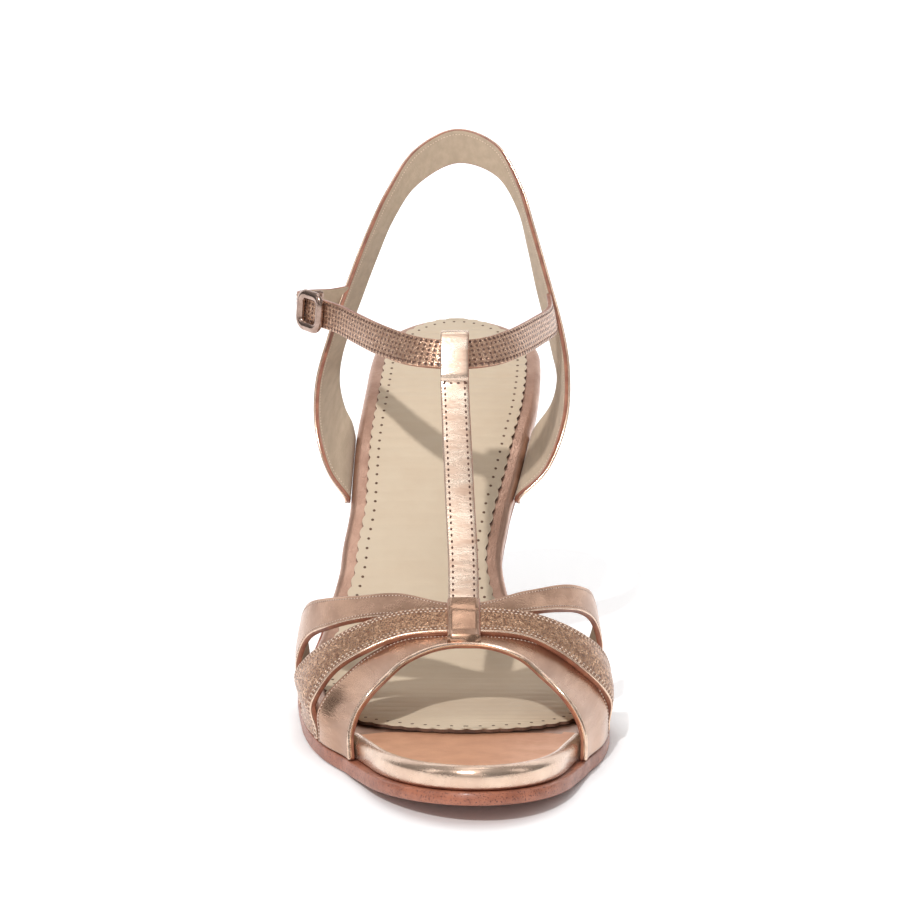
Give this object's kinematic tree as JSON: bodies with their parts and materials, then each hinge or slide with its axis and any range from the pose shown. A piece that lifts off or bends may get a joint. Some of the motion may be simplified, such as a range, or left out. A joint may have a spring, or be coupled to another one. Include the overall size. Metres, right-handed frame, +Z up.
{
  "type": "t strap sandal",
  "caption": "High heeled right sandal in metallic leather, with slim straps over the forefoot, a T strap, a buckled ankle strap and a sling round the heel.",
  "frame": {"origin": "on the floor under the ball of the foot, at the middle of the forefoot's flat tread", "axes": "+Y from toe to heel, +X to the medial side of this right shoe, +Z up"},
  "size_m": [0.0887, 0.2274, 0.1564],
  "materials": {
    "metallic_leather": "rose gold foil, semi gloss",
    "outsole_leather": "red brown, satin",
    "sock_leather": "beige, matt",
    "heel_tip": "dark brown, matt",
    "buckle_metal": "rose gold, polished"
  },
  "bodies": {
    "root": {"outsole": "outsole_leather", "insole": "metallic_leather", "sock": "sock_leather", "heel": "metallic_leather", "top_piece": "heel_tip", "vamp_upper": "metallic_leather", "back_strap": "metallic_leather", "buckle_frame": "buckle_metal"}
  },
  "joints": []
}
